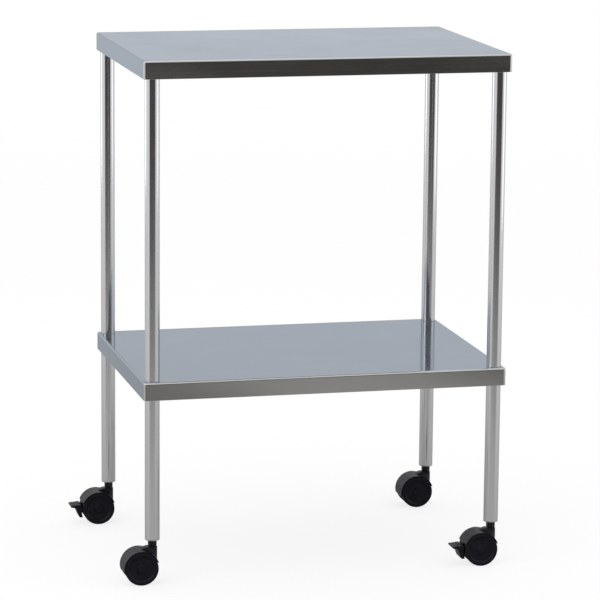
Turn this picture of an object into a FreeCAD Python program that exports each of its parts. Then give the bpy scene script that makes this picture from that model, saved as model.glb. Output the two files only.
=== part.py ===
import FreeCAD, Part
import os
import re

import Sketcher

# Two-shelf instrument cart: folded stainless decks clamped between round tube legs, on four
# twin-wheel swivel casters, two of them with a toe brake.
#
# Frame: X runs along the shelves to the right, Y to the back, Z up, in millimetres. The origin is
# on the floor, under the centre of the shelves. Every caster trails to the left (-X).

SIZES = {
    # shelves: one folded tray each, deck on top, flanges turned down, lower edge hemmed inwards
    "shelf_length": 640,
    "shelf_width": 450,
    "top_deck_height": 900,
    "low_deck_height": 353,
    "sheet": 1.2,
    "flange_depth": 31,
    "fold_radius": 3.5,
    "corner_radius": 5,
    "hem_height": 10,
    "hem_setback": 14,
    "hem_round": 0.9,
    # hat-section stiffener welded under each deck
    "hat_width": 60,
    "hat_lip": 14,
    "hat_height": 16,
    "hat_end_gap": 6,
    "hat_bend": 1.2,
    # legs: round tube, the axis set in from the shelf's outer faces
    "leg_diameter": 25.4,
    "leg_wall": 1.2,
    "leg_inset": 17.5,
    "leg_foot_height": 77,
    # corner plates, screw plugs in the tube ends and the studs that pull them together
    "plate_arm": 62,
    "plate_nose": 24,
    "plate_corner": 5,
    "plate_thickness": 3,
    "plate_gap": 0.3,
    "plug_length": 20,
    "stud_diameter": 10,
    "stud_reach": 18,
    "stud_hole_gap": 0.25,
    "thread_gap": 0.05,
    "plug_gap": 0.05,
    "end_chamfer": 1,
    # caster socket: plug with a rim that closes the tube's lower end
    "socket_rim": 1.5,
    "socket_length": 25,
    # caster stem: screwed into the socket, its pin turns in the housing's barrel
    "stem_thread_length": 19,
    "stem_flats": 14,
    "stem_collar_radius": 7,
    "stem_collar": 1,
    "stem_pin_diameter": 9,
    "stem_pin_length": 22,
    "stem_lift": 0.5,
    "stem_floor_gap": 0.5,
    "running_gap": 0.05,
    "press_gap": 0.02,
    # caster housing: web between the wheels, hood over them, barrel round the stem
    "trail": 21.5,
    "barrel_radius": 8.5,
    "barrel_top": 64,
    "barrel_foot": 34,
    "web_thickness": 12.4,
    "boss_radius": 12,
    "hood_gap": 0.7,
    "hood_wall": 1.4,
    "hood_front_angle": 20,
    "hood_back_angle": 194,
    "braked_back_angle": 159,
    "braked_web_angle": 172,
    "hood_round": 1,
    # twin wheels: moulded core with a soft tread
    "wheel_radius": 29,
    "wheel_width": 15,
    "wheel_side_gap": 0.8,
    "tread_thickness": 4,
    "tread_chamfer": 1.5,
    "tread_inset": 0.3,
    "rim_thickness": 3,
    "rim_inset": 0.6,
    "disc_thickness": 3,
    "disc_recess": 2.6,
    "hub_radius": 7,
    "cap_radius": 9,
    "cap_thickness": 2,
    "axle_diameter": 6,
    "axle_end_gap": 0.5,
    # toe brake: pedal on a pin behind the wheels, its shoe closes on both treads
    "pivot_radius": 34,
    "pivot_angle": 172,
    "pin_diameter": 3,
    "lug_radius": 4.2,
    "lug_gap": 0.5,
    "knuckle_radius": 3.2,
    "pedal_width": 30,
    "pedal_travel": 9,
    "shoe_gap": 0.4,
    "shoe_top_angle": 166,
    "shoe_foot_angle": 202,
    "shoe_depth": 8,
    "lip_reach": 17,
    "lip_thickness": 3,
    "lip_drop": 1.5,
    "pedal_round": 1.2,
    "grip_pitch": 3.5,
    "grip_width": 1.2,
    "grip_depth": 0.6,
}

# The four corners: name, side along X, side along Y, and whether its caster has a brake.
CORNERS = [
    ("front_left", -1, -1, False),
    ("front_right", 1, -1, True),
    ("back_left", -1, 1, True),
    ("back_right", 1, 1, False),
]

# Places and derived sizes, all worked out from the driving sizes above.
LEG_X = "(shelf_length / 2 - leg_inset)"
LEG_Y = "(shelf_width / 2 - leg_inset)"
LEG_BORE = "(leg_diameter / 2 - leg_wall)"
PLATED_DECK = "(sheet + plate_thickness)"
WEB_SIDE = "(web_thickness / 2)"
HOOD_SIDE = "(web_thickness / 2 + wheel_side_gap + wheel_width)"
HOOD_INSIDE = "(wheel_radius + hood_gap)"
HOOD_OUTSIDE = "(wheel_radius + hood_gap + hood_wall)"
CORE_RADIUS = "(wheel_radius - tread_thickness)"
STEM_FOOT = "(barrel_top + stem_lift - stem_pin_length)"
SOCKET_FOOT = "(leg_foot_height - socket_rim)"
AXLE_DEPTH = "(wheel_width - rim_inset - cap_thickness)"
PIVOT = ("(pivot_radius * cos(pivot_angle) - trail)", "(wheel_radius + pivot_radius * sin(pivot_angle))")

doc = FreeCAD.newDocument("instrument_cart")
sheet = doc.addObject("Spreadsheet::Sheet", "Sizes")
nodes = []


def fill_sheet():
    """One row for each size: its name, and its value under that name as the alias."""
    for row, (name, size) in enumerate(SIZES.items(), start=1):
        sheet.set(f"A{row}", name)
        sheet.set(f"B{row}", str(size))
        sheet.setAlias(f"B{row}", name)
    doc.recompute()


def cells(formula):
    """The formula with each size's name made a reference to its cell."""
    return re.sub(r"[a-z_]+", lambda word: "Sizes." + word[0] if word[0] in SIZES else word[0], formula)


def value(formula):
    """The formula's number at the present sizes."""
    return float(sheet.evalExpression(cells(formula)))


def bind(thing, **formulas):
    """Tie properties of an object to formulas."""
    for name, formula in formulas.items():
        thing.setExpression(name, cells(formula))


def place(thing, x="0", y="0", z="0", turn=FreeCAD.Rotation()):
    """Put an object at formulas for X, Y and Z, turned as given."""
    thing.Placement = FreeCAD.Placement(FreeCAD.Vector(value(x), value(y), value(z)), turn)
    for axis, formula in (("x", x), ("y", y), ("z", z)):
        thing.setExpression(f"Placement.Base.{axis}", cells(formula))


def node(thing, name):
    """Name an object as a kept sub-part."""
    thing.Label = name
    nodes.append(thing)
    return thing


def new_body(name):
    """An empty body with its own origin planes."""
    return doc.addObject("PartDesign::Body", name)


def new_sketch(body, plane="XY", lift="0"):
    """A sketch on one of the body's origin planes, lifted along that plane's normal."""
    sketch = body.newObject("Sketcher::SketchObject", "sketch")
    support = [f for f in body.Origin.OriginFeatures if f.Role == plane + "_Plane"][0]
    sketch.AttachmentSupport = (support, [""])
    sketch.MapMode = "FlatFace"
    sketch.setExpression("AttachmentOffset.Base.z", cells(lift))
    return sketch


def fix_point(sketch, edge, point, x=None, y=None):
    """Hold a point of an edge at formulas for its two coordinates."""
    for kind, formula, axis in (("DistanceX", x, -2), ("DistanceY", y, -1)):
        if formula == "0":
            sketch.addConstraint(Sketcher.Constraint("PointOnObject", edge, point, axis))
        elif formula:
            number = sketch.addConstraint(Sketcher.Constraint(kind, edge, point, value(formula)))
            sketch.setExpression(f"Constraints[{number}]", cells(formula))


def arc_edge(start, end, centre):
    """The shorter arc from start to end about a centre, and whether it runs anticlockwise."""
    out, back = start - centre, end - centre
    anticlockwise = out.cross(back).z > 0
    first, last = (out, back) if anticlockwise else (back, out)
    flat = FreeCAD.Vector(1, 0, 0)
    angles = [v.getAngle(flat) * (1 if v.y >= 0 else -1) for v in (first, last)]
    circle = Part.Circle(centre, FreeCAD.Vector(0, 0, 1), out.Length)
    return Part.ArcOfCircle(circle, angles[0], angles[1]), anticlockwise


def outline(sketch, corners):
    """Closed outline. A corner is (x, y), or (x, y, centre) where an arc about centre leaves it."""
    first = sketch.GeometryCount
    count = len(corners)
    points = [FreeCAD.Vector(value(c[0]), value(c[1]), 0) for c in corners]
    starts = []
    for i, corner in enumerate(corners):
        start, end = points[i], points[(i + 1) % count]
        forwards = True
        if len(corner) == 3:
            centre = FreeCAD.Vector(value(corner[2][0]), value(corner[2][1]), 0)
            edge, forwards = arc_edge(start, end, centre)
        else:
            edge = Part.LineSegment(start, end)
        sketch.addGeometry(edge)
        starts.append(1 if forwards else 2)
    for i, corner in enumerate(corners):
        after = (i + 1) % count
        meet = Sketcher.Constraint("Coincident", first + i, 3 - starts[i], first + after, starts[after])
        sketch.addConstraint(meet)
        fix_point(sketch, first + i, starts[i], corner[0], corner[1])
        if len(corner) == 3:
            chord = points[after] - points[i]
            if abs(chord.x) > abs(chord.y):
                fix_point(sketch, first + i, 3, y=corner[2][1])
            else:
                fix_point(sketch, first + i, 3, x=corner[2][0])
    return sketch


def ring(sketch, radius, x="0", y="0"):
    """A circle of a given radius."""
    centre = FreeCAD.Vector(value(x), value(y), 0)
    edge = sketch.addGeometry(Part.Circle(centre, FreeCAD.Vector(0, 0, 1), value(radius)))
    fix_point(sketch, edge, 3, x, y)
    number = sketch.addConstraint(Sketcher.Constraint("Radius", edge, value(radius)))
    sketch.setExpression(f"Constraints[{number}]", cells(radius))
    return sketch


def box_outline(sketch, low_x, high_x, low_y, high_y):
    """A rectangle between two pairs of formulas."""
    return outline(sketch, [(low_x, low_y), (high_x, low_y), (high_x, high_y), (low_x, high_y)])


def pad(body, sketch, length, middle=False, backwards=False):
    """Solid from a sketch, along its normal, or half to each side."""
    feature = body.newObject("PartDesign::Pad", "pad")
    feature.Profile = sketch
    feature.Midplane = middle
    feature.Reversed = backwards
    bind(feature, Length=length)
    return feature


def pocket(body, sketch, length=None, middle=False, backwards=False):
    """Cut from a sketch, against its normal, or half to each side; all the way with no length."""
    feature = body.newObject("PartDesign::Pocket", "pocket")
    feature.Profile = sketch
    feature.Midplane = middle
    feature.Reversed = backwards
    if length:
        bind(feature, Length=length)
    else:
        feature.Type = "ThroughAll"
    return feature


def dress(body, kind, size, wanted):
    """Fillet or chamfer the edges of the body's last feature that a test picks."""
    doc.recompute()
    base = body.Tip
    names = [f"Edge{i}" for i, edge in enumerate(base.Shape.Edges, start=1) if wanted(edge)]
    feature = body.newObject("PartDesign::" + kind, kind.lower())
    feature.Base = (base, names)
    bind(feature, **{"Radius" if kind == "Fillet" else "Size": size})
    return feature


def turned(name, profile):
    """A body turned about its own Z axis from a profile of (radius, height) corners."""
    body = new_body(name)
    sketch = outline(new_sketch(body, "XZ"), profile)
    feature = body.newObject("PartDesign::Revolution", "turn")
    feature.Profile = sketch
    feature.ReferenceAxis = (sketch, ["V_Axis"])
    feature.Angle = 360
    return body


def rod(name, radius, low, high):
    """A turned rod between two heights, its ends chamfered."""
    return turned(name, [
        ("0", low),
        (f"{radius} - end_chamfer", low),
        (radius, f"{low} + end_chamfer"),
        (radius, f"{high} - end_chamfer"),
        (f"{radius} - end_chamfer", high),
        ("0", high),
    ])


def group(name, things):
    """Identical fasteners kept together as one sub-part of separate solids."""
    gathered = doc.addObject("Part::Compound", name)
    gathered.Links = things
    return node(gathered, name)


def at_height(edge, height):
    """Whether an edge lies flat at a height in the body's own frame."""
    box = edge.BoundBox
    return abs(box.ZMin - height) < 1e-4 and abs(box.ZMax - height) < 1e-4


def is_flange_rim(edge):
    """Whether an edge is the flange's outer lower edge or the hem's inner lower edge."""
    if not at_height(edge, -value("flange_depth")):
        return False
    box = edge.BoundBox
    reach_x, reach_y = max(-box.XMin, box.XMax), max(-box.YMin, box.YMax)
    outer = abs(reach_x - value("shelf_length / 2")) < 1e-4 or abs(reach_y - value("shelf_width / 2")) < 1e-4
    hem_x = box.XLength < 1e-4 and abs(reach_x - value("shelf_length / 2 - 2 * sheet")) < 1e-4
    hem_y = box.YLength < 1e-4 and abs(reach_y - value("shelf_width / 2 - 2 * sheet")) < 1e-4
    return outer or hem_x or hem_y


def rounded_rectangle(sketch, half_x, half_y, radius):
    """A rectangle centred on the origin, with rounded corners."""
    corners = []
    for side_x, side_y, first_along_x in ((1, -1, True), (1, 1, False), (-1, 1, True), (-1, -1, False)):
        centre = (f"{side_x} * ({half_x} - {radius})", f"{side_y} * ({half_y} - {radius})")
        on_y_side = (centre[0], f"{side_y} * {half_y}")
        on_x_side = (f"{side_x} * {half_x}", centre[1])
        ends = (on_y_side, on_x_side) if first_along_x else (on_x_side, on_y_side)
        corners += [(*ends[0], centre), ends[1]]
    return outline(sketch, corners)


def shelf(name, deck_height, stud_holes):
    """Folded tray: flat deck, rounded folds and corners, flanges with an inward hem.

    Local origin at the centre of the deck's upper face.
    """
    body = new_body(name)
    half_x, half_y = "(shelf_length / 2)", "(shelf_width / 2)"
    blank = rounded_rectangle(new_sketch(body), half_x, half_y, "corner_radius")
    pad(body, blank, "flange_depth", backwards=True)
    dress(body, "Fillet", "fold_radius", lambda edge: at_height(edge, 0))
    doc.recompute()
    solid = body.Tip
    open_face = [i for i, face in enumerate(solid.Shape.Faces, start=1)
                 if abs(face.BoundBox.ZMax + value("flange_depth")) < 1e-4][0]
    inside = body.newObject("PartDesign::Thickness", "hollow")
    inside.Base = (solid, [f"Face{open_face}"])
    inside.Reversed = True
    bind(inside, Value="sheet")
    hem = new_sketch(body, lift="-flange_depth")
    for side in ("-1", "1"):
        ends = [f"{side} * (shelf_width / 2 - {n} * sheet)" for n in (1, 2)]
        box_outline(hem, f"hem_setback - {half_x}", f"{half_x} - hem_setback", ends[0], ends[1])
        ends = [f"{side} * (shelf_length / 2 - {n} * sheet)" for n in (1, 2)]
        box_outline(hem, ends[0], ends[1], f"hem_setback - {half_y}", f"{half_y} - hem_setback")
    pad(body, hem, "hem_height")
    dress(body, "Fillet", "min(hem_round; 0.8 * sheet)", is_flange_rim)
    if stud_holes:
        holes = new_sketch(body)
        for _, side_x, side_y, _ in CORNERS:
            ring(holes, "stud_diameter / 2 + stud_hole_gap", f"{side_x} * {LEG_X}", f"{side_y} * {LEG_Y}")
        pocket(body, holes, "2 * sheet")
    place(body, z=deck_height)
    return node(body, name)


def stiffener(name, deck_height):
    """Hat section along X, lips against the underside of the deck, crown downwards."""
    body = new_body(name)
    half, lip = "(hat_width / 2)", "(hat_width / 2 + hat_lip)"
    inner = "(hat_width / 2 - sheet)"
    right = [(inner, "sheet - hat_height"), (inner, "0"), (lip, "0"), (lip, "-sheet"), (half, "-sheet"),
             (half, "-hat_height")]
    left = [("-" + across, up) for across, up in reversed(right)]
    section = outline(new_sketch(body, "YZ"), right + left)
    pad(body, section, "shelf_length - 2 * (2 * sheet + hat_end_gap)", middle=True)
    outer = [(value(half), -value("hat_height")), (value(inner), 0)]
    hollow = [(value(inner), value("sheet - hat_height")), (value(half), -value("sheet"))]
    dress(body, "Fillet", "hat_bend + sheet", lambda edge: runs_at(edge, outer))
    dress(body, "Fillet", "hat_bend", lambda edge: runs_at(edge, hollow))
    place(body, z=f"{deck_height} - sheet")
    return node(body, name)


def runs_at(edge, places):
    """Whether an edge runs along X at one of the places given as (distance from the middle, height)."""
    box = edge.BoundBox
    if box.YLength > 1e-4 or box.ZLength > 1e-4:
        return False
    return any(abs(abs(box.YMin) - y) < 1e-4 and abs(box.ZMin - z) < 1e-4 for y, z in places)


def corner_plate(name, side_x, side_y, deck_height):
    """Gusset under a deck's corner, with the stud's hole on the leg's axis.

    Drawn for the back right corner about the leg's axis, and turned by quarters for the others.
    """
    body = new_body(name)
    reach = "(leg_inset - fold_radius - plate_gap)"
    far = f"({reach} - plate_arm)"
    nose = f"({reach} - plate_nose)"
    clipped = f"({reach} - plate_corner)"
    sketch = outline(new_sketch(body), [
        (clipped, reach), (far, reach), (far, nose), (nose, far), (reach, far), (reach, clipped),
    ])
    ring(sketch, "stud_diameter / 2 + thread_gap")
    pad(body, sketch, "plate_thickness", backwards=True)
    quarter = {(1, 1): 0, (-1, 1): 90, (-1, -1): 180, (1, -1): 270}[side_x, side_y]
    place(body, f"{side_x} * {LEG_X}", f"{side_y} * {LEG_Y}", f"{deck_height} - sheet",
          FreeCAD.Rotation(FreeCAD.Vector(0, 0, 1), quarter))
    return node(body, name)


def leg_tube(name, side_x, side_y, low, high):
    """Round tube between two heights."""
    body = new_body(name)
    sketch = ring(ring(new_sketch(body), "leg_diameter / 2"), LEG_BORE)
    pad(body, sketch, f"{high} - {low}")
    place(body, f"{side_x} * {LEG_X}", f"{side_y} * {LEG_Y}", low)
    return node(body, name)


def at_corners(name, make, height):
    """One piece at each leg's axis and a height, as a group."""
    things = []
    for corner, side_x, side_y, _ in CORNERS:
        thing = make(f"{name}_{corner}")
        place(thing, f"{side_x} * {LEG_X}", f"{side_y} * {LEG_Y}", height)
        things.append(thing)
    return group(name, things)


def screw_plug(name):
    """Round plug with a tapped hole through it, its foot at the local origin."""
    radius, bore = f"({LEG_BORE} - plug_gap)", "(stud_diameter / 2 + thread_gap)"
    return turned(name, [
        (bore, "0"),
        (f"{radius} - end_chamfer", "0"),
        (radius, "end_chamfer"),
        (radius, "plug_length - end_chamfer"),
        (f"{radius} - end_chamfer", "plug_length"),
        (bore, "plug_length"),
    ])


def caster_socket(name):
    """Plug in the leg's foot with a rim under the tube's end, its rim's face at the origin."""
    radius, bore = f"({LEG_BORE} - plug_gap)", "(stud_diameter / 2 + thread_gap)"
    return turned(name, [
        (bore, "0"),
        ("leg_diameter / 2", "0"),
        ("leg_diameter / 2", "socket_rim"),
        (radius, "socket_rim"),
        (radius, "socket_rim + socket_length - end_chamfer"),
        (f"{radius} - end_chamfer", "socket_rim + socket_length"),
        (bore, "socket_rim + socket_length"),
    ])


def top_stud(name):
    """Stud flush with the corner plate's upper face, its free end down in the leg's plug."""
    return rod(name, "(stud_diameter / 2)", "(-(plate_thickness + stud_reach))", "0")


def joint_stud(name):
    """Stud through the lower deck and its plate, reaching into the plugs above and below."""
    low = f"(-({PLATED_DECK} + stud_reach))"
    return rod(name, "(stud_diameter / 2)", low, "stud_reach")


def caster_stem(name, side_x, side_y):
    """Threaded end, hexagon, collar and swivel pin in one piece, its axis the leg's axis."""
    collar_foot = "(barrel_top + stem_lift)"
    hex_foot = f"({collar_foot} + stem_collar)"
    thread_end = f"({SOCKET_FOOT} + stem_thread_length)"
    pin, thread = "(stem_pin_diameter / 2)", "(stud_diameter / 2)"
    body = turned(name, [
        ("0", STEM_FOOT),
        (f"{pin} - end_chamfer", STEM_FOOT),
        (pin, f"{STEM_FOOT} + end_chamfer"),
        (pin, collar_foot),
        ("stem_collar_radius", collar_foot),
        ("stem_collar_radius", hex_foot),
        (thread, hex_foot),
        (thread, f"{thread_end} - end_chamfer"),
        (f"{thread} - end_chamfer", thread_end),
        ("0", thread_end),
    ])
    across = "(stem_flats / 2 / cos(30))"
    corners = [(f"{across} * cos({60 * k + 30})", f"{across} * sin({60 * k + 30})") for k in range(6)]
    hexagon = outline(new_sketch(body, lift=hex_foot), corners)
    pad(body, hexagon, f"{SOCKET_FOOT} - {hex_foot}")
    place(body, f"{side_x} * {LEG_X}", f"{side_y} * {LEG_Y}")
    return node(body, name)


def around_wheel(radius, angle):
    """A point at a radius and an angle about the wheels' axis, in the caster's side view."""
    return f"{radius} * cos({angle}) - trail", f"wheel_radius + {radius} * sin({angle})"


def is_hood_rim(edge):
    """Whether an edge is the outer arc of the hood on one of its two sides."""
    box = edge.BoundBox
    on_side = box.YLength < 1e-4 and abs(abs(box.YMin) - value(HOOD_SIDE)) < 1e-4
    if not on_side or not isinstance(edge.Curve, Part.Circle):
        return False
    return abs(edge.Curve.Radius - value(HOOD_OUTSIDE)) < 1e-4


def caster_housing(name, side_x, side_y, braked):
    """Moulded housing: hood over both wheels, web between them, barrel round the stem's pin.

    Local origin on the floor on the swivel axis; the wheels' axis lies behind it by the trail.
    """
    body = new_body(name)
    wheel_axis = ("-trail", "wheel_radius")
    hood_end = "braked_back_angle" if braked else "hood_back_angle"
    web_end = "braked_web_angle" if braked else "hood_back_angle"
    front = around_wheel(HOOD_OUTSIDE, "hood_front_angle")
    inner_front = around_wheel("(wheel_radius - 1)", "hood_front_angle")
    hood = new_sketch(body, "XZ")
    middle = around_wheel(HOOD_OUTSIDE, "90")
    inner_middle = around_wheel("(wheel_radius - 1)", "90")
    outline(hood, [
        (*front, wheel_axis), (*middle, wheel_axis), around_wheel(HOOD_OUTSIDE, hood_end),
        (*around_wheel("(wheel_radius - 1)", hood_end), wheel_axis), (*inner_middle, wheel_axis), inner_front,
    ])
    pad(body, hood, f"2 * {HOOD_SIDE}", middle=True)
    web = new_sketch(body, "XZ")
    outline(web, [
        (*front, wheel_axis), (*middle, wheel_axis), around_wheel(HOOD_OUTSIDE, web_end),
        (*around_wheel("boss_radius", "210"), wheel_axis), around_wheel("boss_radius", "300"),
        ("barrel_radius", "barrel_foot"), ("barrel_radius", f"{front[1]}"),
    ])
    pad(body, web, "web_thickness", middle=True)
    pad(body, ring(new_sketch(body, lift="barrel_foot"), "barrel_radius"), "barrel_top - barrel_foot")
    saddle = new_sketch(body, "XZ")
    outline(saddle, [
        ("-trail", "wheel_radius"), ("0", "wheel_radius"), ("0", "barrel_top"),
        ("-barrel_radius", "barrel_top"), ("-trail", f"wheel_radius + {HOOD_OUTSIDE}"),
    ])
    pad(body, saddle, "2 * barrel_radius", middle=True)
    for lift, outwards in ((WEB_SIDE, True), (f"-{WEB_SIDE}", False)):
        wheel_space = ring(new_sketch(body, "XZ", lift), HOOD_INSIDE, *wheel_axis)
        pocket(body, wheel_space, backwards=outwards)
    dress(body, "Fillet", "min(hood_round; 0.8 * hood_wall)", is_hood_rim)
    dress(body, "Fillet", "hood_round", lambda edge: at_height(edge, value("barrel_top")))
    if braked:
        pad(body, ring(new_sketch(body, "XZ"), "lug_radius", *PIVOT), "web_thickness", middle=True)
        pocket(body, ring(new_sketch(body, "XZ"), "pin_diameter / 2 + press_gap", *PIVOT), middle=True)
    stem_bore = ring(new_sketch(body, lift="barrel_top"), "stem_pin_diameter / 2 + running_gap")
    pocket(body, stem_bore, "stem_pin_length - stem_lift + stem_floor_gap")
    axle_bore = ring(new_sketch(body, "XZ"), "axle_diameter / 2 + press_gap", *wheel_axis)
    pocket(body, axle_bore, middle=True)
    place(body, f"{side_x} * {LEG_X}", f"{side_y} * {LEG_Y}")
    return node(body, name)


def axle(name, side_x, side_y):
    """Steel pin through the housing's web and into both wheels' hubs."""
    half = f"({WEB_SIDE} + wheel_side_gap + {AXLE_DEPTH} - axle_end_gap)"
    body = rod(name, "(axle_diameter / 2)", f"(-{half})", half)
    place(body, f"{side_x} * {LEG_X} - trail", f"{side_y} * {LEG_Y}", "wheel_radius",
          FreeCAD.Rotation(FreeCAD.Vector(1, 0, 0), 90))
    return node(body, name)


def wheel_place(body, side_x, side_y, facing):
    """Put a turned wheel part on the axle, its outer face to the front (-1) or the back (1)."""
    shift = f"{facing} * ({WEB_SIDE} + wheel_side_gap)"
    place(body, f"{side_x} * {LEG_X} - trail", f"{side_y} * {LEG_Y} + {shift}", "wheel_radius",
          FreeCAD.Rotation(FreeCAD.Vector(1, 0, 0), -90 * facing))


def wheel(name, side_x, side_y, facing):
    """Moulded core: hub with a blind bore, disc, rim, and a recessed outer face with a cap."""
    rim_inside = f"({CORE_RADIUS} - rim_thickness)"
    face, disc_face = "(wheel_width - rim_inset)", "(wheel_width - rim_inset - disc_recess)"
    bore = "(axle_diameter / 2 + running_gap)"
    body = turned(name, [
        (bore, "0"),
        ("hub_radius", "0"),
        ("hub_radius", f"{disc_face} - disc_thickness"),
        (rim_inside, f"{disc_face} - disc_thickness"),
        (rim_inside, "rim_inset"),
        (f"{CORE_RADIUS} - press_gap", "rim_inset"),
        (f"{CORE_RADIUS} - press_gap", face),
        (f"{CORE_RADIUS} - rim_thickness / 2", face),
        (f"{rim_inside} - rim_thickness / 2", disc_face),
        ("cap_radius", disc_face),
        ("hub_radius", face),
        ("0", face),
        ("0", AXLE_DEPTH),
        (bore, AXLE_DEPTH),
    ])
    wheel_place(body, side_x, side_y, facing)
    return node(body, name)


def tread(name, side_x, side_y, facing):
    """Soft ring on the wheel's rim, its running edges chamfered."""
    shoulder = "(wheel_radius - tread_chamfer)"
    low, high = "tread_inset", "(wheel_width - tread_inset)"
    body = turned(name, [
        (CORE_RADIUS, low),
        (shoulder, low),
        ("wheel_radius", f"{low} + tread_chamfer"),
        ("wheel_radius", f"{high} - tread_chamfer"),
        (shoulder, high),
        (CORE_RADIUS, high),
    ])
    wheel_place(body, side_x, side_y, facing)
    return node(body, name)


def runs_across(edge, places):
    """Whether a straight edge runs along Y at one of the places along X."""
    box = edge.BoundBox
    if box.XLength > 1e-4 or box.ZLength > 1e-4:
        return False
    return any(abs(box.XMin - x) < 1e-4 for x in places)


def brake_pedal(name, side_x, side_y):
    """Toe pedal: knuckles on the pin, a lip to step on, and a shoe behind both treads.

    The shoe's face is an arc that lies round the treads when the pedal is pressed home, so at rest
    its centre is the wheels' axis turned back about the pin by the pedal's travel.
    """
    body = new_body(name)
    to_axis = ("(-pivot_radius * cos(pivot_angle))", "(-pivot_radius * sin(pivot_angle))")
    centre = (
        f"({PIVOT[0]} + {to_axis[0]} * cos(pedal_travel) + {to_axis[1]} * sin(pedal_travel))",
        f"({PIVOT[1]} - {to_axis[0]} * sin(pedal_travel) + {to_axis[1]} * cos(pedal_travel))",
    )
    face = "(wheel_radius + shoe_gap)"
    shoe_top, shoe_foot = [
        (f"{centre[0]} + {face} * cos({angle})", f"{centre[1]} + {face} * sin({angle})")
        for angle in ("shoe_top_angle", "shoe_foot_angle")
    ]
    lip_tip = f"{PIVOT[0]} - lip_reach"
    lip_top = f"{PIVOT[1]} + knuckle_radius"
    section = outline(new_sketch(body, "XZ"), [
        PIVOT,
        (*shoe_top, centre),
        shoe_foot,
        (f"{shoe_foot[0]} - shoe_depth * 0.8", f"{shoe_foot[1]} + 0.5"),
        (f"{PIVOT[0]} - shoe_depth", f"{PIVOT[1]} - knuckle_radius"),
        (lip_tip, f"{lip_top} - lip_drop - lip_thickness"),
        (lip_tip, f"{lip_top} - lip_drop"),
        (PIVOT[0], lip_top),
    ])
    pad(body, section, "pedal_width", middle=True)
    pad(body, ring(new_sketch(body, "XZ"), "knuckle_radius", *PIVOT), "pedal_width", middle=True)
    ends = [value(lip_tip), value(shoe_foot[0]), value(f"{shoe_foot[0]} - shoe_depth * 0.8")]
    dress(body, "Fillet", "pedal_round", lambda edge: runs_across(edge, ends))
    grips = new_sketch(body, "XZ")
    for groove in (1, 2, 3):
        start, floor = f"{lip_tip} + {groove} * grip_pitch", f"{lip_top} - lip_drop - grip_depth"
        box_outline(grips, start, f"{start} + grip_width", floor, f"{lip_top} + 1")
    pocket(body, grips, middle=True)
    lug_space = ring(new_sketch(body, "XZ"), "lug_radius + lug_gap", *PIVOT)
    pocket(body, lug_space, "web_thickness + 2 * lug_gap", middle=True)
    pocket(body, ring(new_sketch(body, "XZ"), "pin_diameter / 2 + running_gap", *PIVOT), middle=True)
    place(body, f"{side_x} * {LEG_X}", f"{side_y} * {LEG_Y}")
    return node(body, name)


def brake_pin(name, side_x, side_y):
    """Pin held in the housing's lug, on which the pedal turns."""
    radius, half = "(pin_diameter / 2)", "(pedal_width / 2)"
    body = turned(name, [("0", f"-{half}"), (radius, f"-{half}"), (radius, half), ("0", half)])
    place(body, f"{side_x} * {LEG_X} + {PIVOT[0]}", f"{side_y} * {LEG_Y}", PIVOT[1],
          FreeCAD.Rotation(FreeCAD.Vector(1, 0, 0), 90))
    return node(body, name)


def build_frame():
    """Shelves, stiffeners, plates, legs and the hardware that joins them."""
    shelf("top_shelf", "top_deck_height", stud_holes=False)
    shelf("lower_shelf", "low_deck_height", stud_holes=True)
    stiffener("top_stiffener", "top_deck_height")
    stiffener("lower_stiffener", "low_deck_height")
    top_seat = f"(top_deck_height - {PLATED_DECK})"
    low_seat = f"(low_deck_height - {PLATED_DECK})"
    for corner, side_x, side_y, _ in CORNERS:
        corner_plate(f"top_plate_{corner}", side_x, side_y, "top_deck_height")
        corner_plate(f"lower_plate_{corner}", side_x, side_y, "low_deck_height")
        leg_tube(f"upper_leg_{corner}", side_x, side_y, "low_deck_height", top_seat)
        leg_tube(f"lower_leg_{corner}", side_x, side_y, "leg_foot_height", low_seat)
    at_corners("upper_leg_head_plugs", screw_plug, f"{top_seat} - plug_length")
    at_corners("upper_leg_foot_plugs", screw_plug, "low_deck_height")
    at_corners("lower_leg_head_plugs", screw_plug, f"{low_seat} - plug_length")
    at_corners("caster_sockets", caster_socket, SOCKET_FOOT)
    at_corners("top_studs", top_stud, "top_deck_height - sheet")
    at_corners("joint_studs", joint_stud, "low_deck_height")


def build_casters():
    """Four twin-wheel casters, two of them braked."""
    for corner, side_x, side_y, braked in CORNERS:
        caster_stem(f"caster_stem_{corner}", side_x, side_y)
        caster_housing(f"caster_housing_{corner}", side_x, side_y, braked)
        axle(f"axle_{corner}", side_x, side_y)
        for side, facing in (("near", -1), ("far", 1)):
            wheel(f"{side}_wheel_{corner}", side_x, side_y, facing)
            tread(f"{side}_tread_{corner}", side_x, side_y, facing)
        if braked:
            brake_pedal(f"brake_pedal_{corner}", side_x, side_y)
            brake_pin(f"brake_pin_{corner}", side_x, side_y)


def check_model():
    """Stop if a feature failed, a cut removed nothing, or a sub-part isn't a sound solid."""
    for thing in doc.Objects:
        if {"Invalid", "Error"} & set(thing.State):
            raise RuntimeError(f"{thing.Name} ({thing.Label}) failed: {thing.State}")
        if thing.TypeId == "PartDesign::Pocket":
            if thing.Shape.Volume > thing.BaseFeature.Shape.Volume - 1e-3:
                raise RuntimeError(f"{thing.Name} cuts nothing")
    for thing in nodes:
        if thing.Shape.isNull() or not thing.Shape.isValid() or not thing.Shape.Solids:
            raise RuntimeError(f"{thing.Label} is not a valid solid")


fill_sheet()
build_frame()
build_casters()
doc.recompute()
check_model()
os.makedirs("parts", exist_ok=True)
for part in nodes:
    part.Shape.exportStep(f"parts/{part.Label}.step")
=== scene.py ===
import math

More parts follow.
